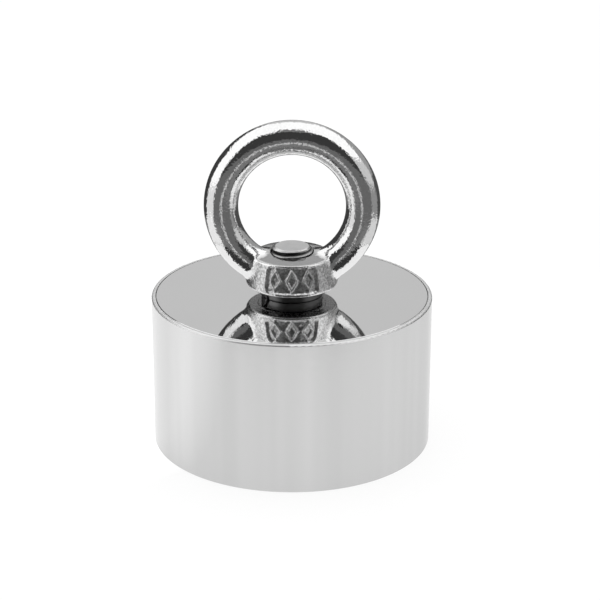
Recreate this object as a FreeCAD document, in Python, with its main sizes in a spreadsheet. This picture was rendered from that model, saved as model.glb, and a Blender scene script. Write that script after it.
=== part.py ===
"""Magnet fishing magnet: a potted ring magnet in a steel cup, with a sleeve, a cover and an eye nut.

The document is in millimetres. +Z is up along the bolt, and the origin is the centre of the
pole face's rim, which the magnet stands on. Every size comes from the sheet "Sizes".
"""

import FreeCAD, Part

import math
import os

import Sketcher

DRIVING_SIZES = (
    ("body_diameter", 66.0, "outside of the sleeve"),
    ("body_height", 36.0, "pole face to top face"),
    ("sleeve_wall", 0.9, "stainless jacket"),
    ("rim_radius", 0.45, "rounded top edge of the sleeve"),
    ("foot_bevel", 0.2, "bevel at the pole face"),
    ("cover_thickness", 2.0, "top plate"),
    ("cover_seam", 0.15, "gap between top plate and sleeve"),
    ("edge_bevel", 0.08, "broken edges of the top plate"),
    ("pot_wall", 6.0, "steel cup, side"),
    ("pot_floor", 8.0, "steel cup, behind the magnets"),
    ("clearance_hole", 10.5, "hole for the bolt in the cup and the top plate"),
    ("face_recess", 0.4, "magnet face above the cup's rim"),
    ("glue_film", 0.2, "adhesive thickness"),
    ("resin_width", 2.0, "potting between magnets and cup"),
    ("magnet_hole", 11.0, "hole through the magnets"),
    ("magnet_bevel", 0.4, "beveled edges of the magnets"),
    ("shank_diameter", 9.8, "bolt, over the thread, with running clearance"),
    ("bolt_length", 45.0, "overall, countersunk"),
    ("head_recess", 2.8, "bolt head above the pole face"),
    ("head_diameter", 20.0, "bolt head"),
    ("head_land", 0.6, "cylindrical edge of the bolt head"),
    ("head_gap", 0.1, "play round the head in its countersink"),
    ("socket_width", 6.0, "hexagon, across flats"),
    ("socket_depth", 3.6, "hexagon, depth"),
    ("tip_bevel", 1.0, "bolt end"),
    ("washer_bore", 10.2, "lock washer"),
    ("washer_diameter", 14.4, "lock washer"),
    ("washer_thickness", 2.3, "lock washer, pressed flat"),
    ("split_width", 0.8, "gap in the lock washer"),
    ("split_tilt", 25.0, "lean of the gap, degrees"),
    ("split_bearing", 215.0, "where the gap is, degrees from +X"),
    ("nut_bore", 10.0, "threaded bore of the eye nut"),
    ("seat_diameter", 16.0, "machined seat under the boss"),
    ("seat_height", 0.15, "machined seat under the boss"),
    ("boss_foot_diameter", 20.2, "boss, at the seat"),
    ("boss_diameter", 20.8, "boss, at its widest"),
    ("boss_top_diameter", 18.2, "boss, at its top face"),
    ("boss_height", 7.7, "seat to top face"),
    ("flare_height", 0.7, "seat to the widest place"),
    ("boss_edge_radius", 0.3, "rounded edge of the top face"),
    ("belly_radius", 0.3, "rounded edge at the widest place"),
    ("ring_radius", 16.5, "eye, to the middle of its section"),
    ("ring_section", 8.0, "eye, diameter of its section"),
    ("ring_height", 19.2, "seat to the middle of the eye"),
    ("blend_radius", 0.8, "cast fillet between ring and boss"),
    ("panel_depth", 0.4, "recessed panel on the boss"),
    ("panel_low", 0.9, "seat to the panel's lower edge"),
    ("panel_high", 7.0, "seat to the panel's upper edge"),
    ("panel_angle", 82.0, "arc that the panel covers, degrees"),
)

SLEEVE_INNER = "Sizes.body_diameter / 2 - Sizes.sleeve_wall"
POT_INNER = "Sizes.body_diameter / 2 - Sizes.sleeve_wall - Sizes.pot_wall"
POT_TOP = "Sizes.body_height - Sizes.cover_thickness"
POT_CEILING = "Sizes.body_height - Sizes.cover_thickness - Sizes.pot_floor"
MAGNET_RADIUS = POT_INNER + " - Sizes.resin_width"
STACK_HEIGHT = POT_CEILING + " - Sizes.face_recess"
MAGNET_HEIGHT = "(" + STACK_HEIGHT + ") / 2 - Sizes.glue_film"
SEAT_LEVEL = "Sizes.body_height + Sizes.washer_thickness"
ZERO = None


def fill_sheet(doc):
    """The driving dimensions, one named cell each."""
    sheet = doc.addObject("Spreadsheet::Sheet", "Sizes")
    for row, (alias, value, note) in enumerate(DRIVING_SIZES, start=1):
        sheet.set(f"A{row}", alias)
        sheet.set(f"B{row}", str(value))
        sheet.set(f"C{row}", note)
        sheet.setAlias(f"B{row}", alias)
    doc.recompute()
    return sheet


def make_body(doc, label):
    """An empty body that becomes one sub-part."""
    body = doc.addObject("PartDesign::Body", label)
    body.Label = label
    return body


def make_sketch(body, name, plane_role):
    """A sketch on one of the body's own origin planes."""
    sketch = body.newObject("Sketcher::SketchObject", name)
    planes = [feature for feature in body.Origin.OriginFeatures if feature.Role == plane_role]
    sketch.AttachmentSupport = [(planes[0], "")]
    sketch.MapMode = "FlatFace"
    return sketch


def bind_coordinate(sketch, line, end, direction, expression):
    """Hold one end of a line at a distance from the sketch's origin, or on its axis for ZERO."""
    if expression is ZERO:
        axis = -2 if direction == "DistanceX" else -1
        sketch.addConstraint(Sketcher.Constraint("PointOnObject", line, end, axis))
        return
    number = sketch.addConstraint(Sketcher.Constraint(direction, -1, 1, line, end, 1.0))
    sketch.setExpression(f"Constraints[{number}]", expression)


def draw_outline(sketch, corners):
    """A closed outline; each corner is (across, up), two expressions, or ZERO on an axis."""
    count = len(corners)
    turn = 2 * math.pi / count
    start = [FreeCAD.Vector(20 + math.cos(turn * i), 20 + math.sin(turn * i), 0) for i in range(count)]
    for i in range(count):
        sketch.addGeometry(Part.LineSegment(start[i], start[(i + 1) % count]), False)
    for i in range(count):
        sketch.addConstraint(Sketcher.Constraint("Coincident", i, 2, (i + 1) % count, 1))
    for i, (across, up) in enumerate(corners):
        bind_coordinate(sketch, i, 1, "DistanceX", across)
        bind_coordinate(sketch, i, 1, "DistanceY", up)


def draw_circle(sketch, diameter):
    """A circle round the sketch's origin."""
    circle = sketch.addGeometry(Part.Circle(FreeCAD.Vector(0, 0, 0), FreeCAD.Vector(0, 0, 1), 5), False)
    sketch.addConstraint(Sketcher.Constraint("Coincident", circle, 3, -1, 1))
    number = sketch.addConstraint(Sketcher.Constraint("Diameter", circle, 10))
    sketch.setExpression(f"Constraints[{number}]", diameter)


def revolve(body, name, corners):
    """A full turn of an outline about the body's own upright axis."""
    sketch = make_sketch(body, name + "_outline", "XZ_Plane")
    draw_outline(sketch, corners)
    turned = body.newObject("PartDesign::Revolution", name)
    turned.Profile = sketch
    turned.ReferenceAxis = (sketch, ["V_Axis"])
    turned.Angle = 360.0
    return turned


def pad_ring(body, name, outer, inner, height):
    """A flat ring of a given height, with its lower face at the body's own origin."""
    sketch = make_sketch(body, name + "_outline", "XY_Plane")
    draw_circle(sketch, outer)
    draw_circle(sketch, inner)
    ring = body.newObject("PartDesign::Pad", name)
    ring.Profile = sketch
    ring.setExpression("Length", height)
    return ring


def round_edges(shape, radius, level):
    """Names of the full circular edges of one radius at one height."""
    names = []
    for number, edge in enumerate(shape.Edges, start=1):
        circle = edge.Curve
        if not isinstance(circle, Part.Circle):
            continue
        if abs(circle.Radius - radius) < 1e-4 and abs(edge.CenterOfMass.z - level) < 1e-4:
            names.append(f"Edge{number}")
    return names


def bevel(doc, body, name, kind, size_property, size, circles):
    """A chamfer or fillet on round edges, given as (radius, height) pairs."""
    doc.recompute()
    base = body.Tip
    names = []
    for radius, level in circles:
        names += round_edges(base.Shape, radius, level)
    dressed = body.newObject(kind, name)
    dressed.Base = (base, names)
    dressed.setExpression(size_property, size)
    doc.recompute()
    return dressed


def chamfer(doc, body, name, size, circles):
    return bevel(doc, body, name, "PartDesign::Chamfer", "Size", size, circles)


def fillet(doc, body, name, size, circles):
    return bevel(doc, body, name, "PartDesign::Fillet", "Radius", size, circles)


def raise_to(body, height):
    """Set the sub-part's own place along the bolt axis."""
    body.setExpression("Placement.Base.z", height)


def make_outer_sleeve(doc, sizes):
    """Thin tube round the cup, with a rounded rim and a bevelled foot."""
    body = make_body(doc, "outer_sleeve")
    inner_diameter = "Sizes.body_diameter - 2 * Sizes.sleeve_wall"
    pad_ring(body, "tube", "Sizes.body_diameter", inner_diameter, "Sizes.body_height")
    outer = sizes.body_diameter / 2
    fillet(doc, body, "rim", "Sizes.rim_radius", [(outer, sizes.body_height)])
    chamfer(doc, body, "foot", "Sizes.foot_bevel", [(outer, 0)])
    return body


def make_top_cover_plate(doc, sizes):
    """Polished disc that lies flush inside the sleeve on top of the cup."""
    body = make_body(doc, "top_cover_plate")
    outer_diameter = "Sizes.body_diameter - 2 * Sizes.sleeve_wall - 2 * Sizes.cover_seam"
    pad_ring(body, "disc", outer_diameter, "Sizes.clearance_hole", "Sizes.cover_thickness")
    radius = sizes.body_diameter / 2 - sizes.sleeve_wall - sizes.cover_seam
    circles = [(radius, sizes.cover_thickness), (sizes.clearance_hole / 2, sizes.cover_thickness)]
    chamfer(doc, body, "edges", "Sizes.edge_bevel", circles)
    raise_to(body, POT_TOP)
    return body


def make_steel_pot(doc, sizes):
    """Cup that is open downwards, with the bolt hole through its thick floor."""
    body = make_body(doc, "steel_pot")
    hole = "Sizes.clearance_hole / 2"
    revolve(
        body,
        "cup",
        [
            (hole, POT_TOP),
            (SLEEVE_INNER, POT_TOP),
            (SLEEVE_INNER, ZERO),
            (POT_INNER, ZERO),
            (POT_INNER, POT_CEILING),
            (hole, POT_CEILING),
        ],
    )
    inner = sizes.body_diameter / 2 - sizes.sleeve_wall - sizes.pot_wall
    chamfer(doc, body, "mouth", "Sizes.foot_bevel", [(inner, 0)])
    return body


def make_magnet(doc, label):
    """Ring magnet as pressed and sintered, before any countersink."""
    body = make_body(doc, label)
    outer_diameter = "2 * (" + MAGNET_RADIUS + ")"
    pad_ring(body, "ring", outer_diameter, "Sizes.magnet_hole", MAGNET_HEIGHT)
    return body


def magnet_radius(sizes):
    return sizes.body_diameter / 2 - sizes.sleeve_wall - sizes.pot_wall - sizes.resin_width


def magnet_height(sizes):
    ceiling = sizes.body_height - sizes.cover_thickness - sizes.pot_floor
    return (ceiling - sizes.face_recess) / 2 - sizes.glue_film


def make_upper_ring_magnet(doc, sizes):
    body = make_magnet(doc, "upper_ring_magnet")
    outer = magnet_radius(sizes)
    chamfer(doc, body, "edges", "Sizes.magnet_bevel", [(outer, 0), (outer, magnet_height(sizes))])
    raise_to(body, POT_CEILING + " - Sizes.glue_film - (" + MAGNET_HEIGHT + ")")
    return body


def make_lower_ring_magnet(doc, sizes):
    """The magnet at the pole face, with a right-angled countersink that holds the bolt head."""
    body = make_magnet(doc, "lower_ring_magnet")
    outer = magnet_radius(sizes)
    chamfer(doc, body, "edges", "Sizes.magnet_bevel", [(outer, 0), (outer, magnet_height(sizes))])
    sketch = make_sketch(body, "countersink_outline", "XZ_Plane")
    rim_radius = "Sizes.head_diameter / 2 + Sizes.head_gap"
    mouth = rim_radius + " + Sizes.head_recess + Sizes.head_land - Sizes.face_recess"
    draw_outline(sketch, [(ZERO, ZERO), (mouth, ZERO), (ZERO, mouth)])
    countersink = body.newObject("PartDesign::Groove", "countersink")
    countersink.Profile = sketch
    countersink.ReferenceAxis = (sketch, ["V_Axis"])
    countersink.Angle = 360.0
    raise_to(body, "Sizes.face_recess")
    return body


def make_pot_adhesive(doc, _sizes):
    """Glue film between the cup's floor and the upper magnet."""
    body = make_body(doc, "pot_adhesive")
    outer_diameter = "2 * (" + MAGNET_RADIUS + " - Sizes.magnet_bevel)"
    pad_ring(body, "film", outer_diameter, "Sizes.magnet_hole", "Sizes.glue_film")
    raise_to(body, POT_CEILING + " - Sizes.glue_film")
    return body


def make_magnet_adhesive(doc, _sizes):
    """Glue film between the two magnets."""
    body = make_body(doc, "magnet_adhesive")
    outer_diameter = "2 * (" + MAGNET_RADIUS + " - Sizes.magnet_bevel)"
    pad_ring(body, "film", outer_diameter, "Sizes.magnet_hole", "Sizes.glue_film")
    raise_to(body, "Sizes.face_recess + " + MAGNET_HEIGHT)
    return body


def make_potting_ring(doc, _sizes):
    """Cured resin between the magnets and the cup's wall."""
    body = make_body(doc, "potting_ring")
    outer_diameter = "2 * (" + POT_INNER + ")"
    inner_diameter = "2 * (" + MAGNET_RADIUS + ")"
    pad_ring(body, "resin", outer_diameter, inner_diameter, STACK_HEIGHT)
    raise_to(body, "Sizes.face_recess")
    return body


def make_countersunk_bolt(doc, _sizes):
    """Hexagon socket bolt that goes up through everything, its head in the lower magnet."""
    body = make_body(doc, "countersunk_bolt")
    head = "Sizes.head_diameter / 2"
    shank = "Sizes.shank_diameter / 2"
    neck_level = "Sizes.head_land + (Sizes.head_diameter - Sizes.shank_diameter) / 2"
    revolve(
        body,
        "blank",
        [
            (ZERO, ZERO),
            (head, ZERO),
            (head, "Sizes.head_land"),
            (shank, neck_level),
            (shank, "Sizes.bolt_length - Sizes.tip_bevel"),
            (shank + " - Sizes.tip_bevel", "Sizes.bolt_length"),
            (ZERO, "Sizes.bolt_length"),
        ],
    )
    doc.recompute()
    blank_volume = body.Shape.Volume
    sketch = make_sketch(body, "socket_outline", "XY_Plane")
    draw_hexagon(sketch, "Sizes.socket_width / 2 / cos(30)")
    socket = body.newObject("PartDesign::Pocket", "socket")
    socket.Profile = sketch
    socket.Reversed = True
    socket.setExpression("Length", "Sizes.socket_depth")
    raise_to(body, "Sizes.head_recess")
    doc.recompute()
    require(body.Shape.Volume < blank_volume - 50, "the hexagon socket cut nothing")
    return body


def draw_hexagon(sketch, corner_radius):
    """A regular hexagon round the origin, held by its corner circle."""
    circle = sketch.addGeometry(Part.Circle(FreeCAD.Vector(0, 0, 0), FreeCAD.Vector(0, 0, 1), 3), True)
    sketch.addConstraint(Sketcher.Constraint("Coincident", circle, 3, -1, 1))
    radius = sketch.addConstraint(Sketcher.Constraint("Radius", circle, 3))
    sketch.setExpression(f"Constraints[{radius}]", corner_radius)
    turns = [math.pi / 3 * i for i in range(6)]
    corners = [FreeCAD.Vector(3 * math.cos(turn), 3 * math.sin(turn), 0) for turn in turns]
    lines = [
        sketch.addGeometry(Part.LineSegment(corners[i], corners[(i + 1) % 6]), False) for i in range(6)
    ]
    for i, line in enumerate(lines):
        sketch.addConstraint(Sketcher.Constraint("Coincident", line, 2, lines[(i + 1) % 6], 1))
        sketch.addConstraint(Sketcher.Constraint("PointOnObject", line, 1, circle))
    for line in lines[1:]:
        sketch.addConstraint(Sketcher.Constraint("Equal", lines[0], line))
    sketch.addConstraint(Sketcher.Constraint("PointOnObject", lines[0], 1, -1))


def make_lock_washer(doc, sizes):
    """Flat ring with one leaning cut through it."""
    outer = doc.addObject("Part::Cylinder", "washer_outside")
    outer.setExpression("Radius", "Sizes.washer_diameter / 2")
    outer.setExpression("Height", "Sizes.washer_thickness")
    bore = doc.addObject("Part::Cylinder", "washer_bore_cutter")
    bore.setExpression("Radius", "Sizes.washer_bore / 2")
    bore.setExpression("Height", "Sizes.washer_thickness")
    ring = doc.addObject("Part::Cut", "washer_ring")
    ring.Base = outer
    ring.Tool = bore
    split = doc.addObject("Part::Box", "washer_split_cutter")
    split.setExpression("Length", "Sizes.washer_diameter / 2")
    split.setExpression("Width", "Sizes.split_width")
    split.setExpression("Height", "Sizes.washer_thickness * 4")
    bearing = FreeCAD.Rotation(FreeCAD.Vector(0, 0, 1), sizes.split_bearing)
    lean = FreeCAD.Rotation(FreeCAD.Vector(1, 0, 0), sizes.split_tilt)
    turn = bearing.multiply(lean)
    middle = FreeCAD.Vector(0, sizes.split_width / 2, sizes.washer_thickness * 2)
    centre = FreeCAD.Vector(0, 0, sizes.washer_thickness / 2)
    split.Placement = FreeCAD.Placement(centre - turn.multVec(middle), turn)
    washer = doc.addObject("Part::Cut", "lock_washer")
    washer.Label = "lock_washer"
    washer.Base = ring
    washer.Tool = split
    raise_to(washer, "Sizes.body_height")
    return washer


def draw_ring_section(sketch):
    """The eye's round section above its centre, and the axis that it turns about."""
    section = Part.Circle(FreeCAD.Vector(0, 36, 0), FreeCAD.Vector(0, 0, 1), 4)
    circle = sketch.addGeometry(section, False)
    axis = sketch.addGeometry(Part.LineSegment(FreeCAD.Vector(0, 19, 0), FreeCAD.Vector(10, 19, 0)), True)
    sketch.addConstraint(Sketcher.Constraint("PointOnObject", circle, 3, -2))
    sketch.addConstraint(Sketcher.Constraint("PointOnObject", axis, 1, -2))
    sketch.addConstraint(Sketcher.Constraint("Horizontal", axis))
    length = sketch.addConstraint(Sketcher.Constraint("DistanceX", axis, 1, axis, 2, 10))
    sketch.setExpression(f"Constraints[{length}]", "Sizes.ring_radius")
    diameter = sketch.addConstraint(Sketcher.Constraint("Diameter", circle, 8))
    sketch.setExpression(f"Constraints[{diameter}]", "Sizes.ring_section")
    bind_coordinate(sketch, axis, 1, "DistanceY", "Sizes.ring_height")
    bind_coordinate(sketch, circle, 3, "DistanceY", "Sizes.ring_height + Sizes.ring_radius")


def cut_disc(doc, body, name, diameter, depth, downwards):
    """A round pocket from the body's own base plane, checked to have cut something."""
    doc.recompute()
    before = body.Shape.Volume
    sketch = make_sketch(body, name + "_outline", "XY_Plane")
    draw_circle(sketch, diameter)
    pocket = body.newObject("PartDesign::Pocket", name)
    pocket.Profile = sketch
    pocket.Reversed = not downwards
    pocket.setExpression("Length", depth)
    doc.recompute()
    require(body.Shape.Volume < before - 0.5, f"{name} cut nothing")
    return pocket


def cut_panels(doc, body):
    """A shallow recess that follows the boss's round side, at the back and at the front."""
    before = body.Shape.Volume
    sketch = make_sketch(body, "panel_outline", "YZ_Plane")
    outside = "Sizes.boss_diameter"
    draw_outline(
        sketch,
        [
            ("Sizes.boss_diameter / 2 - Sizes.panel_depth", "Sizes.panel_low"),
            (outside, "Sizes.panel_low"),
            (outside, "Sizes.panel_high"),
            ("Sizes.boss_top_diameter / 2 - Sizes.panel_depth", "Sizes.panel_high"),
        ],
    )
    panel = body.newObject("PartDesign::Groove", "panel")
    panel.Profile = sketch
    panel.ReferenceAxis = (sketch, ["V_Axis"])
    panel.Midplane = True
    panel.setExpression("Angle", "Sizes.panel_angle")
    doc.recompute()
    both = body.newObject("PartDesign::PolarPattern", "panels")
    both.Originals = [panel]
    both.Axis = (sketch, ["V_Axis"])
    both.Angle = 360.0
    both.Occurrences = 2
    body.Tip = both
    doc.recompute()
    require(body.Shape.Volume < before - 20, "the panels cut nothing")


def blend_edges(shape):
    """Names of the edges where the ring's surface meets the boss."""
    names = []
    for number, edge in enumerate(shape.Edges, start=1):
        if not isinstance(edge.Curve, (Part.BSplineCurve, Part.Ellipse, Part.Circle)):
            continue
        faces = shape.ancestorsOfType(edge, Part.Face)
        kinds = {type(face.Surface).__name__ for face in faces}
        if "Toroid" in kinds and len(kinds) > 1:
            names.append(f"Edge{number}")
    return names


def make_eye_nut(doc, sizes):
    """Cast eye on a flared boss, with a bore up the middle and a panel on two sides."""
    body = make_body(doc, "eye_nut")
    seat = "Sizes.seat_diameter / 2"
    foot = "Sizes.boss_foot_diameter / 2"
    widest = "Sizes.boss_diameter / 2"
    top = "Sizes.boss_top_diameter / 2"
    revolve(
        body,
        "boss",
        [
            (ZERO, ZERO),
            (seat, ZERO),
            (seat, "Sizes.seat_height"),
            (foot, "Sizes.seat_height"),
            (widest, "Sizes.flare_height"),
            (top, "Sizes.boss_height"),
            (ZERO, "Sizes.boss_height"),
        ],
    )
    top_edge = (sizes.boss_top_diameter / 2, sizes.boss_height)
    belly_edge = (sizes.boss_diameter / 2, sizes.flare_height)
    fillet(doc, body, "boss_edge", "Sizes.boss_edge_radius", [top_edge])
    fillet(doc, body, "boss_belly", "Sizes.belly_radius", [belly_edge])

    ring_sketch = make_sketch(body, "ring_section", "YZ_Plane")
    draw_ring_section(ring_sketch)
    ring = body.newObject("PartDesign::Revolution", "ring")
    ring.Profile = ring_sketch
    ring.ReferenceAxis = (ring_sketch, ["Axis0"])
    ring.Angle = 360.0
    doc.recompute()

    wide = "4 * Sizes.boss_diameter"
    trimmed = cut_disc(doc, body, "seat_cut", wide, "Sizes.ring_section", downwards=True)
    blend = body.newObject("PartDesign::Fillet", "blend")
    blend.Base = (trimmed, blend_edges(trimmed.Shape))
    blend.setExpression("Radius", "Sizes.blend_radius")
    doc.recompute()

    bore_depth = "Sizes.boss_height + Sizes.ring_section / 2"
    cut_disc(doc, body, "bore", "Sizes.nut_bore", bore_depth, downwards=False)
    cut_panels(doc, body)
    raise_to(body, SEAT_LEVEL)
    return body


def require(truth, message):
    if not truth:
        raise RuntimeError(message)


class Numbers:
    """The sheet's cells read back as attributes."""

    def __init__(self, sheet):
        for alias, _value, _note in DRIVING_SIZES:
            setattr(self, alias, float(sheet.get(alias)))


def check_document(doc):
    """Stop on any object that failed to recompute."""
    for item in doc.Objects:
        states = set(item.State)
        require(not states & {"Invalid", "Error"}, f"{item.Label} failed: {item.State}")


def write_part(part):
    """Write one sub-part, after checking that it is a sound solid."""
    shape = part.Shape
    require(not shape.isNull() and shape.isValid(), f"{part.Label} has no valid shape")
    require(len(shape.Solids) >= 1, f"{part.Label} holds no solid")
    shape.exportStep(f"parts/{part.Label}.step")
    print(f"{part.Label}: {len(shape.Solids)} solid, {shape.Volume:.1f} mm3, {shape.BoundBox}")


MAKERS = (
    make_outer_sleeve,
    make_top_cover_plate,
    make_steel_pot,
    make_upper_ring_magnet,
    make_lower_ring_magnet,
    make_pot_adhesive,
    make_magnet_adhesive,
    make_potting_ring,
    make_countersunk_bolt,
    make_lock_washer,
    make_eye_nut,
)


def main():
    os.makedirs("parts", exist_ok=True)
    doc = FreeCAD.newDocument("magnet_fishing_magnet")
    sizes = Numbers(fill_sheet(doc))
    parts = [make(doc, sizes) for make in MAKERS]
    doc.recompute()
    check_document(doc)
    for part in parts:
        write_part(part)


main()
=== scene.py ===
"""Magnet fishing magnet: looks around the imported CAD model, in metres, in the CAD frame."""

import math

import bpy
import numpy as np
from mathutils import Matrix, Vector


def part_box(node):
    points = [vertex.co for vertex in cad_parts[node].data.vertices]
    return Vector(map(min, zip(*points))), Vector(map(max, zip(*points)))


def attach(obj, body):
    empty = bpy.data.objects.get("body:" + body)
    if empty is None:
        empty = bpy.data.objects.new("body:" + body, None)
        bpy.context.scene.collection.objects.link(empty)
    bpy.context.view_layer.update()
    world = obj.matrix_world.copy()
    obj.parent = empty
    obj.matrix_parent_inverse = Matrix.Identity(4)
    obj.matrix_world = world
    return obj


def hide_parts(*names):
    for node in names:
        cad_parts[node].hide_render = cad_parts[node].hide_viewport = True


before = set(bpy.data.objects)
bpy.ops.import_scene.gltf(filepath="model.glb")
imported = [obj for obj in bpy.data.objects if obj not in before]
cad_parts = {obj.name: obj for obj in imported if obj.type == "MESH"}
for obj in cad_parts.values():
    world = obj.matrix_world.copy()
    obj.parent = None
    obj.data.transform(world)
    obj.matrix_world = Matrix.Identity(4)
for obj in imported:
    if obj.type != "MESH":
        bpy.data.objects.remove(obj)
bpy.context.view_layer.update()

MM = 0.001
TAU = 2 * math.pi


def add_object(name, data):
    """A new object, linked to the scene."""
    item = bpy.data.objects.new(name, data)
    bpy.context.scene.collection.objects.link(item)
    return item


# ---------------------------------------------------------------- sizes read from the frame

BODY_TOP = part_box("outer_sleeve")[1].z
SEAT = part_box("eye_nut")[0].z
EYE_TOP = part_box("eye_nut")[1].z
RING_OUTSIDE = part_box("eye_nut")[1].x
BOLT_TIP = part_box("countersunk_bolt")[1].z
BOLT_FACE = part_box("countersunk_bolt")[0].z
HEAD_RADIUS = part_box("countersunk_bolt")[1].x
WASHER_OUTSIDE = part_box("lock_washer")[1].x

# ---------------------------------------------------------------- camera

CAMERA_ELEVATION = math.radians(20.7)
CAMERA_DISTANCE = 0.46674
CAMERA_TARGET = Vector((0.0019, 0.0, BODY_TOP - 0.0018))
CAMERA_ROLL = math.radians(0.17)
LENS_MM = 118.65
SENSOR_MM = 36.0
NEAREST = 0.01
FARTHEST = 20.0


def make_camera():
    """A long lens that looks along +Y and down at the front of the object."""
    data = bpy.data.cameras.new("camera")
    data.sensor_width = SENSOR_MM
    data.lens = LENS_MM
    data.clip_start = NEAREST
    data.clip_end = FARTHEST
    camera = add_object("camera", data)
    away = Vector((0.0, -math.cos(CAMERA_ELEVATION), math.sin(CAMERA_ELEVATION)))
    tilt = Matrix.Rotation(math.pi / 2 - CAMERA_ELEVATION, 4, "X")
    roll = Matrix.Rotation(CAMERA_ROLL, 4, "Z")
    place = Matrix.Translation(CAMERA_TARGET + away * CAMERA_DISTANCE)
    camera.matrix_world = place @ tilt @ roll
    bpy.context.scene.camera = camera


# ---------------------------------------------------------------- shader helpers


class Nodes:
    """A material's node tree, with short calls for the nodes that the finishes share."""

    def __init__(self, name):
        self.material = bpy.data.materials.new(name)
        self.material.use_nodes = True
        self.tree = self.material.node_tree
        self.shader = self.tree.nodes["Principled BSDF"]
        coordinates = self.tree.nodes.new("ShaderNodeTexCoord")
        self.place = coordinates.outputs["Object"]

    def add(self, kind, **inputs):
        """A node with its inputs set by name, a space in a name being written as _."""
        node = self.tree.nodes.new(kind)
        for name, value in inputs.items():
            self.feed(node.inputs[name.replace("_", " ")], value)
        return node

    def feed(self, socket, value):
        """Link a socket to a socket, or give it a constant."""
        if isinstance(value, bpy.types.NodeSocket):
            self.tree.links.new(value, socket)
        else:
            socket.default_value = value

    def set(self, **inputs):
        """Set the inputs of the material's shader."""
        for name, value in inputs.items():
            self.feed(self.shader.inputs[name.replace("_", " ")], value)

    def noise(self, scale, detail=3.0, roughness=0.5, vector=None):
        source = self.place if vector is None else vector
        look = {"Scale": scale, "Detail": detail, "Roughness": roughness}
        return self.add("ShaderNodeTexNoise", Vector=source, **look).outputs["Fac"]

    def stretch(self, factors):
        """The object coordinates scaled along each axis, for drawn-out grain."""
        node = self.tree.nodes.new("ShaderNodeVectorMath")
        node.operation = "MULTIPLY"
        self.feed(node.inputs[0], self.place)
        node.inputs[1].default_value = factors
        return node.outputs["Vector"]

    def remap(self, value, low, high, start=0.0, end=1.0):
        """Turn start to end into low to high, and hold at both ends."""
        node = self.add("ShaderNodeMapRange", Value=value)
        node.inputs["From Min"].default_value = start
        node.inputs["From Max"].default_value = end
        node.inputs["To Min"].default_value = low
        node.inputs["To Max"].default_value = high
        return node.outputs["Result"]

    def math(self, operation, first, second=0.0):
        node = self.tree.nodes.new("ShaderNodeMath")
        node.operation = operation
        self.feed(node.inputs[0], first)
        self.feed(node.inputs[1], second)
        return node.outputs["Value"]

    def product(self, first, second):
        return self.math("MULTIPLY", first, second)

    def total(self, first, second):
        return self.math("ADD", first, second)

    def split(self):
        node = self.add("ShaderNodeSeparateXYZ", Vector=self.place)
        return node.outputs["X"], node.outputs["Y"], node.outputs["Z"]

    def radius(self):
        """Distance from the object's vertical axis."""
        x, y, _z = self.split()
        return self.math("SQRT", self.total(self.product(x, x), self.product(y, y)))

    def attribute(self, name):
        node = self.tree.nodes.new("ShaderNodeAttribute")
        node.attribute_name = name
        return node.outputs["Fac"]

    def tint(self, factor, dark, light):
        """A colour between two, by a factor."""
        node = self.tree.nodes.new("ShaderNodeMix")
        node.data_type = "RGBA"
        self.feed(node.inputs["Factor"], factor)
        node.inputs["A"].default_value = (*dark, 1.0)
        node.inputs["B"].default_value = (*light, 1.0)
        return node.outputs["Result"]

    def bump(self, height, distance, strength=1.0, normal=None):
        node = self.add("ShaderNodeBump", Height=height, Distance=distance, Strength=strength)
        if normal is not None:
            self.feed(node.inputs["Normal"], normal)
        return node.outputs["Normal"]


def grey(value, warmth=0.0):
    """A colour of even red, green and blue, or a little warmer."""
    return (value + warmth, value, value - warmth)


# ---------------------------------------------------------------- finishes


RIM_START = BODY_TOP - 0.0005
RIM_END = BODY_TOP - 0.0003


def polished_sleeve_finish():
    """Drawn stainless tube: bright, hazy along its length and finely polished, with a satin rim
    whose colour is lightened as a painted highlight.
    """
    n = Nodes("polished_sleeve")
    haze = n.noise(110.0, detail=2.0, vector=n.stretch((1.0, 1.0, 0.03)))
    fine = n.noise(500.0, detail=2.0, vector=n.stretch((1.0, 1.0, 4.0)))
    _x, _y, z = n.split()
    rim = n.remap(z, 0.0, 1.0, RIM_START, RIM_END)
    # The rim's base colour is raised by 0.22: a painted highlight on the rim.
    shade = n.total(n.remap(haze, 0.565, 0.625, 0.3, 0.7), n.product(rim, 0.22))
    n.set(
        Metallic=1.0,
        Base_Color=n.tint(shade, grey(0.0), grey(1.0)),
        Specular_Tint=(0.9, 0.9, 0.9, 1.0),
        Roughness=n.total(n.remap(fine, 0.13, 0.19), n.product(rim, 0.32)),
        Normal=n.bump(fine, 0.000002, 0.15),
    )
    return n.material


def mirror_plate_finish():
    """Mirror-polished stainless sheet with hairline scratches from handling."""
    n = Nodes("mirror_plate")
    cloud = n.noise(40.0, detail=2.0)
    scratch = n.noise(420.0, detail=2.0, vector=n.stretch((0.06, 1.0, 1.0)))
    n.set(
        Metallic=1.0,
        Base_Color=n.tint(cloud, grey(0.83), grey(0.86)),
        Roughness=n.remap(scratch, 0.02, 0.05, 0.35, 0.75),
        Normal=n.bump(scratch, 0.0000005, 0.1),
    )
    return n.material


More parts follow.
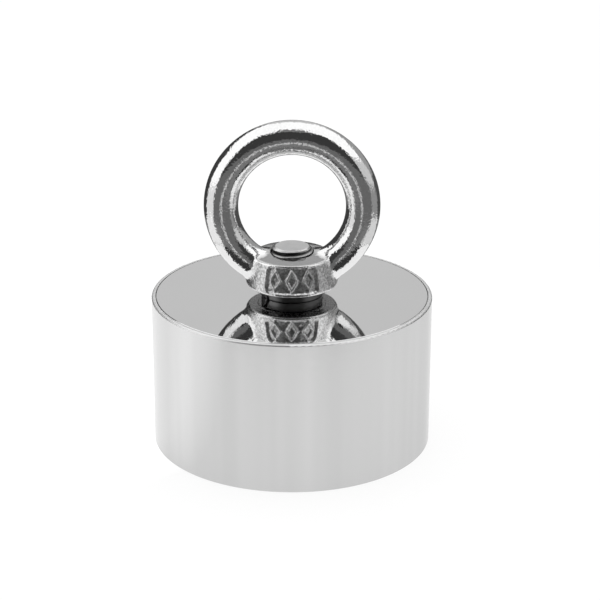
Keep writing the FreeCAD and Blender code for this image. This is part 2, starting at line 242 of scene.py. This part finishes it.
def cast_stainless_finish():
    """Tumbled and polished casting: bright on the ring, satin and sparkling on its rough parts.

    It reads three values per vertex: grain (rough), one for painted shade under the boss and round
    the bolt (dark), and one for the duller machined top and painted shade on the panel floors
    (grey).
    """
    n = Nodes("cast_stainless")
    grain = n.attribute("grain")
    painted_shade = n.attribute("painted_shade")
    pits = n.noise(1900.0, detail=1.0, roughness=0.6)
    peel = n.noise(300.0, detail=2.0)
    cloud = n.noise(160.0, detail=3.0)
    # Painted shade: the base colour darkens under the boss and close round the bolt.
    shade = n.product(n.remap(cloud, 0.92, 1.0), n.remap(painted_shade, 1.0, 0.1))
    # A duller machined top, and painted shade on the panel floors.
    shade = n.product(shade, n.remap(n.attribute("dulling_and_painted_shade"), 1.0, 0.62))
    speckle = n.product(n.remap(pits, 1.0, 0.0, 0.4, 0.62), n.remap(grain, 0.04, 0.42))
    shade = n.product(shade, n.math("SUBTRACT", 1.0, speckle))
    rough = n.total(n.remap(pits, 0.03, 0.06, 0.35, 0.65), n.remap(grain, 0.0, 0.26))
    rough = n.total(rough, n.remap(painted_shade, 0.0, 0.3))
    height = n.product(pits, n.remap(grain, 1.0, 2.5))
    surface = n.bump(peel, 0.00012, 0.5)
    n.set(
        Metallic=1.0,
        Base_Color=n.tint(shade, grey(0.0), grey(0.87)),
        Roughness=rough,
        Normal=n.bump(height, 0.00007, 0.65, surface),
    )
    return n.material


def bolt_finish():
    """Machined stainless bolt with a lightly tarnished end and painted shade in its thread roots.
    """
    n = Nodes("bolt_steel")
    fine = n.noise(2600.0, detail=3.0)
    cloud = n.noise(500.0, detail=2.0)
    painted_shade = n.attribute("painted_shade")
    # Painted shade: the thread roots darken with their depth.
    shade = n.product(n.remap(cloud, 0.84, 1.0), n.remap(painted_shade, 1.0, 0.06))
    n.set(
        Metallic=1.0,
        Base_Color=n.tint(shade, grey(0.0), grey(0.78)),
        Roughness=n.remap(fine, 0.25, 0.42),
        Normal=n.bump(fine, 0.00003, 0.3),
    )
    return n.material


def washer_finish():
    """Spring steel: dull and slightly mottled; its very dark colour is painted shade for its place
    under the boss.
    """
    n = Nodes("washer_steel")
    fine = n.noise(2200.0, detail=3.0)
    cloud = n.noise(350.0, detail=2.0)
    n.set(
        Metallic=1.0,
        # Very dark base colour: painted shade for the gap under the boss.
        Base_Color=n.tint(cloud, grey(0.10), grey(0.18)),
        Roughness=n.remap(fine, 0.3, 0.45),
        Normal=n.bump(fine, 0.00002, 0.3),
    )
    return n.material


def turned_finish(name, dark, light, pitch, roughness):
    """Plated steel with fine concentric tool marks on its flat faces."""
    n = Nodes(name)
    wobble = n.noise(90.0, detail=2.0)
    turns = n.product(n.radius(), TAU / pitch)
    marks = n.math("SINE", n.total(turns, n.remap(wobble, 0.0, 6.0)))
    fine = n.noise(2400.0, detail=3.0)
    cloud = n.noise(70.0, detail=4.0, roughness=0.6)
    n.set(
        Metallic=1.0,
        Base_Color=n.tint(cloud, dark, light),
        Roughness=n.remap(fine, roughness - 0.06, roughness + 0.08),
        Normal=n.bump(marks, 0.000004, 0.4, n.bump(fine, 0.00001, 0.3)),
    )
    return n.material


def resin_finish():
    """Black potting resin: glossy, with faint flow marks and dust."""
    n = Nodes("potting_resin")
    flow = n.noise(220.0, detail=3.0)
    dust = n.noise(2600.0, detail=2.0)
    n.set(
        Base_Color=n.tint(n.remap(dust, 0.0, 1.0, 0.55, 0.8), grey(0.012), grey(0.04)),
        Roughness=n.remap(flow, 0.18, 0.4),
        Normal=n.bump(flow, 0.0002, 0.4),
    )
    return n.material


def adhesive_finish():
    """Amber glue film, seen only at its edge."""
    n = Nodes("adhesive")
    cloud = n.noise(400.0, detail=3.0)
    n.set(
        Base_Color=n.tint(cloud, (0.30, 0.22, 0.10), (0.45, 0.36, 0.2)),
        Roughness=n.remap(cloud, 0.35, 0.6),
        Normal=n.bump(cloud, 0.00005, 0.3),
    )
    return n.material


def finish(node_name, material):
    """Give a carried-over CAD node its material."""
    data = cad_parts[node_name].data
    data.materials.clear()
    data.materials.append(material)


# ---------------------------------------------------------------- meshes


def make_piece(name, vertices, faces, material, body, replaced):
    """A mesh in metres, placed by its vertices, that stands for CAD nodes and rides on a body."""
    data = bpy.data.meshes.new(name)
    data.from_pydata([tuple(v) for v in np.asarray(vertices, float).tolist()], [], faces)
    data.validate()
    data.polygons.foreach_set("use_smooth", [True] * len(data.polygons))
    data.materials.append(material)
    piece = add_object(name, data)
    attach(piece, body)
    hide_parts(*replaced)
    return piece


def paint(piece, name, values):
    """A value per vertex that the piece's material reads."""
    attribute = piece.data.attributes.new(name, "FLOAT", "POINT")
    attribute.data.foreach_set("value", np.asarray(values, np.float32))


def smooth_min(a, b, width):
    """The smaller of two fields, with their crossing rounded over a width."""
    near = np.maximum(width - np.abs(a - b), 0.0) / width
    return np.minimum(a, b) - near * near * width / 4


def smooth_max(a, b, width):
    """The larger of two fields, with their crossing rounded over a width."""
    return -smooth_min(-a, -b, width)


def surface_net(field, low, high, pitch):
    """Vertices and quads on the zero level of a field, from its crossings of a regular grid."""
    counts = [int(math.ceil((b - a) / pitch)) + 1 for a, b in zip(low, high)]
    xs, ys, zs = (a + np.arange(n) * pitch for a, n in zip(low, counts))
    y_grid, z_grid = np.meshgrid(ys, zs, indexing="ij")
    values = np.stack([field(x, y_grid, z_grid) for x in xs]).astype(np.float32)
    cells = np.array(values.shape) - 1
    cell_total = int(np.prod(cells))
    sums = np.zeros((3, cell_total))
    hits = np.zeros(cell_total)
    quads = []
    for axis in range(3):
        first = np.take(values, range(values.shape[axis] - 1), axis)
        second = np.take(values, range(1, values.shape[axis]), axis)
        index = np.argwhere((first < 0) != (second < 0))
        start = first[tuple(index.T)].astype(float)
        end = second[tuple(index.T)].astype(float)
        point = index.astype(float)
        point[:, axis] += start / (start - end)
        u, v = (axis + 1) % 3, (axis + 2) % 3
        round_edge = []
        for du, dv in ((0, 0), (1, 0), (1, 1), (0, 1)):
            cell = index.copy()
            cell[:, u] -= du
            cell[:, v] -= dv
            flat = np.ravel_multi_index(tuple(cell.T), tuple(cells))
            hits += np.bincount(flat, minlength=cell_total)
            for k in range(3):
                sums[k] += np.bincount(flat, point[:, k], cell_total)
            round_edge.append(flat)
        loop = np.stack(round_edge, 1)
        loop[start > 0] = loop[start > 0][:, ::-1]
        quads.append(loop)
    used = np.flatnonzero(hits)
    number = np.full(cell_total, -1)
    number[used] = np.arange(len(used))
    points = (sums[:, used] / hits[used]).T * pitch + np.array(low)
    faces = number[np.concatenate(quads)]
    return points, faces


def slope_of(field, points, step=0.01):
    """The field's gradient at each point."""
    columns = []
    for axis in range(3):
        shift = np.zeros(3)
        shift[axis] = step
        ahead = field(*(points + shift).T)
        behind = field(*(points - shift).T)
        columns.append((ahead - behind) / (2 * step))
    return np.stack(columns, 1)


def settle_on(field, points, rounds=4):
    """Move points onto the zero level of a field along its gradient."""
    for _ in range(rounds):
        gradient = slope_of(field, points)
        length = np.maximum((gradient**2).sum(1), 0.05)
        points = points - gradient * (field(*points.T) / length)[:, None]
    return points


# ---------------------------------------------------------------- eye nut, in mm above the plate

SEAT_MM = (SEAT - BODY_TOP) / MM
RING_SECTION = 4.0
RING_RADIUS = RING_OUTSIDE / MM - RING_SECTION
RING_CENTRE = (EYE_TOP - BODY_TOP) / MM - RING_OUTSIDE / MM
COLLAR_RADIUS = 8.0
COLLAR_HEIGHT = 0.15
COLLAR_ROOT = 1.0
LIP_HEIGHT = SEAT_MM + COLLAR_HEIGHT
LIP_RADIUS = 10.1
BELLY_HEIGHT = SEAT_MM + 0.6
BELLY_RADIUS = 10.35
WING_WIDTH = 0.35
BOSS_TOP = SEAT_MM + 7.5
BOSS_TOP_RADIUS = 9.2
DOME_HEIGHT = 0.75
CAST_FILLET = 1.5
BELLY_ROUNDING = 0.4
CROWN_ROUNDING = 0.35
LIP_ROUNDING = 0.15
BORE_ROUNDING = 0.08
NUT_BORE = 5.0
BORE_BEVEL = 0.48
PANEL_MIDDLE = 6.25
PANEL_HALF_WIDTH = 6.7
PANEL_HALF_HEIGHT = 3.2
PANEL_CORNER = 1.5
PANEL_DEPTH = 0.55
PANEL_SLANT = 0.7
PANEL_ROUNDING = 0.25
LOZENGE_PITCH = 4.3
LOZENGE_HALF = (1.35, 2.25)
LOZENGE_STROKE = 0.28
LOZENGE_RELIEF = 0.4
LOZENGE_ROUNDING = 0.2
NET_PITCH = 0.24
NET_MARGIN = 0.6
FINE_LUMP = 0.5
COARSE_LUMP = 1.3
LUMP_DEPTH = 0.06
LUMP_SINK = 0.02


def ring_field(x, y, h):
    """Distance from the eye's round section, negative inside."""
    across = np.hypot(x, h - RING_CENTRE) - RING_RADIUS
    return np.hypot(across, y) - RING_SECTION


def boss_field(x, y, h):
    """A barrel that is a little wider towards the ring's legs, and undercut at its foot."""
    radius = np.hypot(x, y)
    toward_leg = (x / np.maximum(radius, 1e-6)) ** 2
    widest = BELLY_RADIUS + WING_WIDTH * toward_leg
    taper = (widest - BOSS_TOP_RADIUS) / (BOSS_TOP - BELLY_HEIGHT)
    side = (radius - widest + taper * (h - BELLY_HEIGHT)) / np.sqrt(1 + taper**2)
    flare = (widest - LIP_RADIUS) / (BELLY_HEIGHT - LIP_HEIGHT)
    under = (radius - LIP_RADIUS - flare * (h - LIP_HEIGHT)) / np.sqrt(1 + flare**2)
    wall = smooth_max(side, under, BELLY_ROUNDING)
    crown = BOSS_TOP + DOME_HEIGHT * (1 - (radius / BOSS_TOP_RADIUS) ** 2)
    return smooth_max(wall, h - crown, CROWN_ROUNDING)


def panel_place(x, y, h):
    """Arc and height from the middle of a panel, on both the front and the back of the boss."""
    return BELLY_RADIUS * np.arctan2(x, np.abs(y)), h - PANEL_MIDDLE


def panel_outline(x, y, h):
    """Distance from the rounded rectangle of the panel, negative inside."""
    across, up = panel_place(x, y, h)
    beyond_side = np.abs(across) - PANEL_HALF_WIDTH + PANEL_CORNER
    beyond_end = np.abs(up) - PANEL_HALF_HEIGHT + PANEL_CORNER
    outside = np.hypot(np.maximum(beyond_side, 0), np.maximum(beyond_end, 0))
    return outside + np.minimum(np.maximum(beyond_side, beyond_end), 0) - PANEL_CORNER


def lozenge_outline(x, y, h):
    """Distance from the strokes of three hollow lozenges in a row."""
    across, up = panel_place(x, y, h)
    nearest = np.clip(np.round(across / LOZENGE_PITCH), -1, 1) * LOZENGE_PITCH
    half_width, half_height = LOZENGE_HALF
    share = np.abs(across - nearest) / half_width + np.abs(up) / half_height - 1
    distance = share * half_width * half_height / math.hypot(half_width, half_height)
    return np.abs(distance) - LOZENGE_STROKE


def eye_nut_field(x, y, h):
    """Ring and boss blended, panels with lozenges, the seat's collar, and the bevelled bore."""
    radius = np.hypot(x, y)
    boss = boss_field(x, y, h)
    shape = smooth_min(ring_field(x, y, h), boss, CAST_FILLET)
    slanted = panel_outline(x, y, h) - PANEL_SLANT * np.clip(boss, -PANEL_DEPTH, PANEL_DEPTH)
    recess = smooth_max(slanted, -(boss + PANEL_DEPTH), PANEL_ROUNDING)
    shape = smooth_max(shape, -recess, PANEL_ROUNDING)
    relief = boss + PANEL_DEPTH - LOZENGE_RELIEF
    marks = smooth_max(lozenge_outline(x, y, h), relief, PANEL_ROUNDING)
    shape = smooth_min(shape, marks, LOZENGE_ROUNDING)
    shape = smooth_max(shape, LIP_HEIGHT - h, LIP_ROUNDING)
    collar_wall = np.maximum(radius - COLLAR_RADIUS, SEAT_MM - h)
    collar = np.maximum(collar_wall, h - SEAT_MM - COLLAR_ROOT)
    shape = np.minimum(shape, collar)
    bore = np.maximum(radius - NUT_BORE, h - BOSS_TOP - RING_SECTION)
    foot_bevel = radius - NUT_BORE - BORE_BEVEL - SEAT_MM + h
    bore = np.minimum(bore, np.maximum(foot_bevel, SEAT_MM - COLLAR_ROOT - h))
    return smooth_max(shape, -bore, BORE_ROUNDING)


LATTICE = 32
LATTICE_SHIFT = 100.0


def value_noise(points, cell, seed):
    """Smooth noise from -1 to 1 on a repeating lattice of random values."""
    table = np.random.default_rng(seed).uniform(-1, 1, (LATTICE, LATTICE, LATTICE))
    scaled = points / cell + LATTICE_SHIFT
    corner = np.floor(scaled).astype(int)
    part = scaled - corner
    part = part * part * (3 - 2 * part)
    total = np.zeros(len(points))
    for i in (0, 1):
        for j in (0, 1):
            for k in (0, 1):
                weight = np.ones(len(points))
                for axis, side in enumerate((i, j, k)):
                    weight *= part[:, axis] if side else 1 - part[:, axis]
                index = (corner + (i, j, k)) % LATTICE
                total += weight * table[index[:, 0], index[:, 1], index[:, 2]]
    return total


def fade_in(distance, start, width):
    """From 0 to 1 over a width that begins at a start."""
    return np.clip((distance - start) / width, 0, 1)


def cast_grain(points):
    """Where the casting is left rough: the wings and panels, not the ring or machined faces."""
    x, y, h = points.T
    on_boss = fade_in(ring_field(x, y, h) - boss_field(x, y, h), -0.3, 1.5)
    below_top = fade_in(BOSS_TOP - h, 0.3, 0.3)
    above_seat = fade_in(h - LIP_HEIGHT, 0.3, 0.3)
    return on_boss * below_top * above_seat


def cast_painted_shade(points):
    """Painted shade on the casting: its underside round the seat, and close round the bolt."""
    x, y, h = points.T
    under = fade_in(LIP_HEIGHT - h, -0.22, 0.1)
    in_bore = fade_in(NUT_BORE - np.hypot(x, y), -0.2, 0.15) * (h < BOSS_TOP + RING_SECTION / 2)
    return np.maximum(0.75 * under, in_bore)


def cast_dulling_and_painted_shade(points):
    """The machined top of the boss is duller than the rest, and the floor of its panels is darkened
    as painted shade in the recess.
    """
    x, y, h = points.T
    top = fade_in(ring_field(x, y, h), 0.3, 0.5) * fade_in(h - BOSS_TOP, -0.1, 0.2)
    # Painted shade on the panel floors, darker as a recess in shade would look.
    in_panel = fade_in(-panel_outline(x, y, h), 0.3, 0.3)
    sunk = fade_in(-boss_field(x, y, h), PANEL_DEPTH * 0.6, 0.1)
    return np.maximum(top, 0.8 * in_panel * sunk)


def make_eye_nut(material):
    """The cast eye, meshed from one field so that its fillets run as a casting's do."""
    half_width = RING_OUTSIDE / MM + NET_MARGIN
    half_depth = BELLY_RADIUS + NET_MARGIN
    low = (-half_width, -half_depth, SEAT_MM - NET_MARGIN)
    high = (half_width, half_depth, (EYE_TOP - BODY_TOP) / MM + NET_MARGIN)
    points, faces = surface_net(eye_nut_field, low, high, NET_PITCH)
    points = settle_on(eye_nut_field, points)
    grain = cast_grain(points)
    gradient = slope_of(eye_nut_field, points)
    normal = gradient / np.maximum(np.linalg.norm(gradient, axis=1), 1e-6)[:, None]
    lumps = 0.6 * value_noise(points, FINE_LUMP, 3) + 0.4 * value_noise(points, COARSE_LUMP, 4)
    sink = np.maximum(lumps, -0.3) * grain * LUMP_DEPTH + LUMP_SINK * grain
    points = points - normal * sink[:, None]
    place = points * MM + np.array((0, 0, BODY_TOP))
    quads = faces.tolist()
    name, stands_for = "eye_nut_casting", ["eye_nut"]
    piece = make_piece(name, place, quads, material, "lifting_eye", stands_for)
    paint(piece, "grain", grain)
    # Painted shade under the boss and close round the bolt.
    paint(piece, "painted_shade", cast_painted_shade(points))
    paint(piece, "dulling_and_painted_shade", cast_dulling_and_painted_shade(points))
    return piece


# ---------------------------------------------------------------- bolt and washer, in mm

THREAD_PITCH = 1.5
THREAD_DEPTH = 0.85
SHANK_RADIUS = 4.9
THREAD_PHASE = 0.7
THREAD_LENGTH = 20.0
THREAD_RUN_IN = 2.0
THREAD_ROW = 0.075
TIP_BEVEL = 1.0
TIP_LENGTH = 0.6
HEAD_LAND = 0.6
SOCKET_FLAT = 3.0
SOCKET_DEPTH = 3.6
AROUND = 144


def loft(rows):
    """Vertices and faces through rings of equal count, closed at both ends; a row is (n, 3)."""
    count = len(rows[0])
    vertices = np.concatenate(rows)
    faces = []
    for row in range(len(rows) - 1):
        base = row * count
        for i in range(count):
            j = (i + 1) % count
            faces.append((base + i, base + j, base + count + j, base + count + i))
    last = (len(rows) - 1) * count
    faces.append(tuple(range(count - 1, -1, -1)))
    faces.append(tuple(range(last, last + count)))
    return vertices, faces


def ring_row(angle, radius, height):
    """One ring of a loft, from its angles, its radius or radii, and its height."""
    level = np.full(len(angle), height)
    return np.stack([radius * np.cos(angle), radius * np.sin(angle), level], 1)


def thread_radius(angle, height):
    """Radius of a right-hand M10 thread, with its crest level and its root rounded."""
    phase = (height / THREAD_PITCH - angle / TAU + THREAD_PHASE) % 1.0
    ramp = np.abs(2 * phase - 1)
    share = np.clip(1.35 * ramp - 0.18, 0, 1)
    share = share * share * (3 - 2 * share) * 0.4 + share * 0.6
    return SHANK_RADIUS - THREAD_DEPTH * (1 - share)


def make_bolt(material):
    """Countersunk bolt, up from its head's face: socket, head, shank, thread and bevelled end."""
    length = (BOLT_TIP - BOLT_FACE) / MM
    head = HEAD_RADIUS / MM
    angle = np.arange(AROUND) * TAU / AROUND
    hexagon = SOCKET_FLAT / np.cos(angle % (TAU / 6) - TAU / 12)
    round_row = np.ones(AROUND)
    neck = HEAD_LAND + head - SHANK_RADIUS
    profile = [
        (0.02 * round_row, SOCKET_DEPTH + 0.9),
        (hexagon * 0.5, SOCKET_DEPTH + 0.5),
        (hexagon * 0.97, SOCKET_DEPTH),
        (hexagon, SOCKET_DEPTH - 0.05),
        (hexagon, 0.35),
        (np.maximum(hexagon, SOCKET_FLAT * 1.12), 0.03),
        (round_row * SOCKET_FLAT * 1.2, 0.0),
        (round_row * head * 0.7, 0.0),
        (round_row * (head - 0.25), 0.0),
        (round_row * (head - 0.07), 0.07),
        (round_row * head, 0.25),
        (round_row * head, HEAD_LAND - 0.05),
        (round_row * (head - 0.05), HEAD_LAND + 0.03),
        (round_row * (SHANK_RADIUS + 0.15), neck - 0.15),
        (round_row * SHANK_RADIUS, neck + 0.2),
        (round_row * SHANK_RADIUS, length - THREAD_LENGTH - THREAD_RUN_IN),
    ]
    rows = [ring_row(angle, radius, height) for radius, height in profile]
    steps = int(THREAD_LENGTH / THREAD_ROW)
    for step in range(steps + 1):
        height = length - THREAD_LENGTH + THREAD_LENGTH * step / steps
        fade = min(1.0, (height - length + THREAD_LENGTH) / THREAD_RUN_IN)
        thread = SHANK_RADIUS + (thread_radius(angle, height) - SHANK_RADIUS) * fade
        bevel = SHANK_RADIUS - max(0.0, height - length + TIP_LENGTH) * TIP_BEVEL / TIP_LENGTH
        rows.append(ring_row(angle, np.minimum(thread, bevel), height))
    tip = SHANK_RADIUS - TIP_BEVEL
    for share, sink in ((0.97, 0.0), (0.9, 0.02), (0.6, 0.03), (0.3, 0.035), (0.02, 0.04)):
        rows.append(ring_row(angle, round_row * tip * share, length - sink))
    vertices, faces = loft(rows)
    place = vertices * MM + np.array((0, 0, BOLT_FACE))
    name, stands_for = "threaded_bolt", ["countersunk_bolt"]
    piece = make_piece(name, place, faces, material, "magnet_body", stands_for)
    from_end = length - vertices[:, 2]
    on_thread = (from_end < THREAD_LENGTH) & (from_end > TIP_LENGTH)
    depth = (SHANK_RADIUS - np.hypot(vertices[:, 0], vertices[:, 1])) / THREAD_DEPTH
    # Painted shade in the thread roots, the deeper roots darker.
    paint(piece, "painted_shade", np.clip(2.2 * depth, 0, 1) * on_thread)
    return piece


WASHER_BORE = 5.1
WASHER_CORNER = 0.3
WASHER_STEPS = 120
CORNER_STEPS = 4
WASHER_SPLIT = 0.8
SPLIT_BEARING = math.radians(215.0)
SPLIT_LEAN = math.tan(math.radians(25.0))


def make_lock_washer(material):
    """Split spring washer, pressed flat: a rounded section swept round, with leaning ends."""
    thick = (SEAT - BODY_TOP) / MM
    outside = WASHER_OUTSIDE / MM
    inner, outer = WASHER_BORE + WASHER_CORNER, outside - WASHER_CORNER
    low, high = WASHER_CORNER, thick - WASHER_CORNER
    corners = ((outer, high), (inner, high), (inner, low), (outer, low))
    section = []
    for quarter, (middle_r, middle_h) in enumerate(corners):
        for step in range(CORNER_STEPS + 1):
            turn = (quarter + step / CORNER_STEPS) * TAU / 4
            out, up = WASHER_CORNER * math.cos(turn), WASHER_CORNER * math.sin(turn)
            section.append((middle_r + out, middle_h + up))
    radius, height = np.array(section).T
    rows = []
    for step in range(WASHER_STEPS + 1):
        share = step / WASHER_STEPS
        lean = (height - thick / 2) * SPLIT_LEAN
        gap = WASHER_SPLIT / 2 * (1 - 2 * share)
        along = SPLIT_BEARING + TAU * share + (gap - lean) / radius
        rows.append(np.stack([radius * np.cos(along), radius * np.sin(along), height], 1))
    vertices, faces = loft(rows)
    place = vertices * MM + np.array((0, 0, BODY_TOP))
    name, stands_for = "split_washer", ["lock_washer"]
    return make_piece(name, place, faces, material, "washer", stands_for)


# ---------------------------------------------------------------- studio

WHITE = (1.0, 1.0, 1.0, 1.0)
WORLD_LEVEL = 1.2
FLOOR_RADIUS = 3.0
FLOOR_CORNERS = 96
FLOOR_GLOW = (0.83, 1.04)
BRIGHT_BEARING = math.radians(75.0)
BRIGHT_FADE = (0.55, 0.92)


def make_floor():
    """A big pale disc whose glow, stronger on one side, nearly hides the shadow at the foot."""
    angle = np.arange(FLOOR_CORNERS) * TAU / FLOOR_CORNERS
    data = bpy.data.meshes.new("floor")
    rim = ring_row(angle, FLOOR_RADIUS, 0.0)
    data.from_pydata(rim.tolist(), [], [tuple(range(FLOOR_CORNERS))])
    floor = add_object("floor", data)
    n = Nodes("floor")
    fine = n.noise(4.0, detail=2.0)
    x, y, _z = n.split()
    leftward = n.product(x, -math.sin(BRIGHT_BEARING))
    along = n.total(leftward, n.product(y, math.cos(BRIGHT_BEARING)))
    side = n.math("DIVIDE", along, n.math("MAXIMUM", n.radius(), 0.001))
    n.set(
        Base_Color=n.tint(fine, grey(0.15), grey(0.16)),
        Roughness=0.9,
        Emission_Color=WHITE,
        Emission_Strength=n.remap(side, *FLOOR_GLOW, *BRIGHT_FADE),
    )
    data.materials.append(n.material)
    return floor


def receivers(light, pieces):
    """The only objects that a light or a glowing object lights."""
    group = bpy.data.collections.new(light.name + "_receivers")
    light.light_linking.receiver_collection = group
    for piece in pieces:
        group.objects.link(piece)
    return group


def keep_light_off(light, pieces):
    """Leave some pieces out of a glowing object's light, as a flag close to them would."""
    for entry in receivers(light, pieces).collection_objects:
        entry.light_linking.link_state = "EXCLUDE"


def glow(name, level):
    """A plain light-giving or light-swallowing card."""
    material = bpy.data.materials.new(name)
    material.use_nodes = True
    nodes = material.node_tree.nodes
    nodes.remove(nodes["Principled BSDF"])
    emission = nodes.new("ShaderNodeEmission")
    emission.inputs["Color"].default_value = WHITE
    emission.inputs["Strength"].default_value = level
    surface = nodes["Material Output"].inputs["Surface"]
    material.node_tree.links.new(emission.outputs["Emission"], surface)
    return material


STUDIO_RADIUS = 0.9
EYE_LEVEL = 0.06
FLOOR_GAP = 0.001
CARD_STEPS = 16
CARDS = (
    ("camera_side_flag", (-52, 50), (4, 52), 0.045),
    ("camera_upper_flag", (-30, 30), (52, 70), 0.2),
    ("camera_low_flag", (-52, 60), (-23, 4), 0.15),
    ("camera_glint", (-9, 3), (-24, -15), 0.8),
    ("upper_glint", (3, 14), (6, 17), 0.7),
    ("left_strip", (-106, -52), (-22, 0), 0.85),
    ("right_strip", (60, 106), (-22, 0), 0.3),
    ("right_upper_strip", (50, 106), (0, 24), 0.65),
    ("rear_left_flag", (-166, -106), (-22, 28), 0.05),
    ("rear_right_flag", (106, 164), (4, 32), 0.35),
    ("rear_right_low_flag", (106, 164), (-22, 4), 0.08),
    ("rear_card", (164, 194), (7, 44), 0.6),
    ("rear_low_card", (164, 194), (-22, 7), 0.06),
)


def card_point(bearing, height):
    """Where a ray from the eye at that bearing and height meets the studio sphere or the floor."""
    level = math.cos(height)
    direction = Vector((math.sin(bearing) * level, -math.cos(bearing) * level, math.sin(height)))
    reach = STUDIO_RADIUS
    if direction.z < 0:
        reach = min(reach, (EYE_LEVEL - FLOOR_GAP) / -direction.z)
    return Vector((0, 0, EYE_LEVEL)) + direction * reach


def between(limits, step):
    """The angle at a step across a card, from its limits in degrees."""
    return math.radians(limits[0] + (limits[1] - limits[0]) * step / CARD_STEPS)


def make_card(name, bearings, heights, level):
    """A studio card on a sphere round the object, seen only in reflections.

    Bearings and heights are in degrees; bearing 0 is toward the camera and +90 is toward +X. What
    would pass through the floor lies on it instead.
    """
    vertices = []
    for i in range(CARD_STEPS + 1):
        for j in range(CARD_STEPS + 1):
            vertices.append(card_point(between(bearings, i), between(heights, j)))
    faces = []
    for i in range(CARD_STEPS):
        for j in range(CARD_STEPS):
            corner = i * (CARD_STEPS + 1) + j
            beyond = corner + CARD_STEPS + 1
            faces.append((corner, corner + 1, beyond + 1, beyond))
    data = bpy.data.meshes.new(name)
    data.from_pydata(vertices, [], faces)
    data.materials.append(glow(name, level))
    card = add_object(name, data)
    card.visible_camera = False
    card.visible_diffuse = False
    card.visible_shadow = False
    card.visible_transmission = False


LAMP_PLACE = 0.098
LAMP_HEIGHT = 0.002
LAMP_WIDTH = 0.09
LAMP_LENGTH = 0.12


def make_floor_lamp(name, x, level, pieces):
    """A glowing panel lying on the floor to one side, which only the given pieces see."""
    data = bpy.data.lights.new(name, "AREA")
    data.shape = "RECTANGLE"
    data.size = LAMP_WIDTH
    data.size_y = LAMP_LENGTH
    data.energy = level * math.pi * LAMP_WIDTH * LAMP_LENGTH
    lamp = add_object(name, data)
    lamp.location = (x, 0.0, LAMP_HEIGHT)
    lamp.rotation_euler = (math.pi, 0.0, 0.0)
    lamp.visible_camera = False
    receivers(lamp, pieces)


def make_world():
    """Even white light from all round."""
    world = bpy.data.worlds.new("studio")
    world.use_nodes = True
    background = world.node_tree.nodes["Background"]
    background.inputs["Color"].default_value = WHITE
    background.inputs["Strength"].default_value = WORLD_LEVEL
    bpy.context.scene.world = world


def set_picture():
    """Colours as they are, and a clean picture from few samples."""
    scene = bpy.context.scene
    scene.view_settings.view_transform = "Standard"
    scene.view_settings.look = "None"
    scene.cycles.use_denoising = True
    scene.cycles.max_bounces = 10
    scene.cycles.glossy_bounces = 8


make_camera()
set_picture()
make_world()
floor = make_floor()
for card in CARDS:
    make_card(*card)

pot_finish = turned_finish("plated_pot", grey(0.55, 0.006), grey(0.68, 0.01), 0.00028, 0.26)
magnet_finish = turned_finish("plated_magnet", grey(0.50, 0.004), grey(0.62, 0.008), 0.00016, 0.3)
glue_finish = adhesive_finish()
finish("outer_sleeve", polished_sleeve_finish())
finish("top_cover_plate", mirror_plate_finish())
finish("steel_pot", pot_finish)
finish("upper_ring_magnet", magnet_finish)
finish("lower_ring_magnet", magnet_finish)
finish("pot_adhesive", glue_finish)
finish("magnet_adhesive", glue_finish)
finish("potting_ring", resin_finish())

casting = make_eye_nut(cast_stainless_finish())
bolt = make_bolt(bolt_finish())
washer = make_lock_washer(washer_finish())
keep_light_off(floor, (casting, bolt, washer))
make_floor_lamp("left_floor_lamp", -LAMP_PLACE, 0.75, (casting,))
make_floor_lamp("right_floor_lamp", LAMP_PLACE, 0.55, (casting,))
